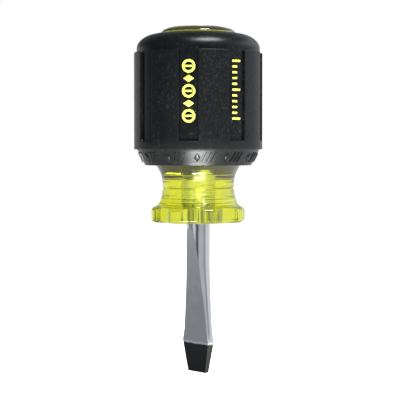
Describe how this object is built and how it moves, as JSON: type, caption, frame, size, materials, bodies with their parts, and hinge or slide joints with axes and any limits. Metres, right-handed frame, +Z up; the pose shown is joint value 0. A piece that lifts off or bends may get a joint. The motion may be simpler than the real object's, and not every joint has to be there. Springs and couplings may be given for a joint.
{
  "type": "stubby slotted screwdriver",
  "caption": "Short screwdriver with a keystone slotted blade, a clear yellow-green turned handle and a black cushioned rubber grip.",
  "frame": {"origin": "centre of the flat end face of the blade", "axes": "+Z up the tool's axis from the blade's end to the crown of the handle; X along the blade's width; Y through the blade's thickness"},
  "size_m": [0.0322, 0.0322, 0.0873],
  "materials": {
    "blade_shank": "nickel-chrome plated and polished, with a black oxide tip over the lowest 7 mm",
    "handle_core": "clear yellow-green cellulose acetate, polished, with fine turning marks in the neck",
    "cushion_grip": "matt black moulded rubber, grained panels, smoother satin grooves and shoulder"
  },
  "bodies": {
    "root": {"blade_shank": "blade_shank", "handle_core": "handle_core", "cushion_grip": "cushion_grip"}
  },
  "joints": []
}
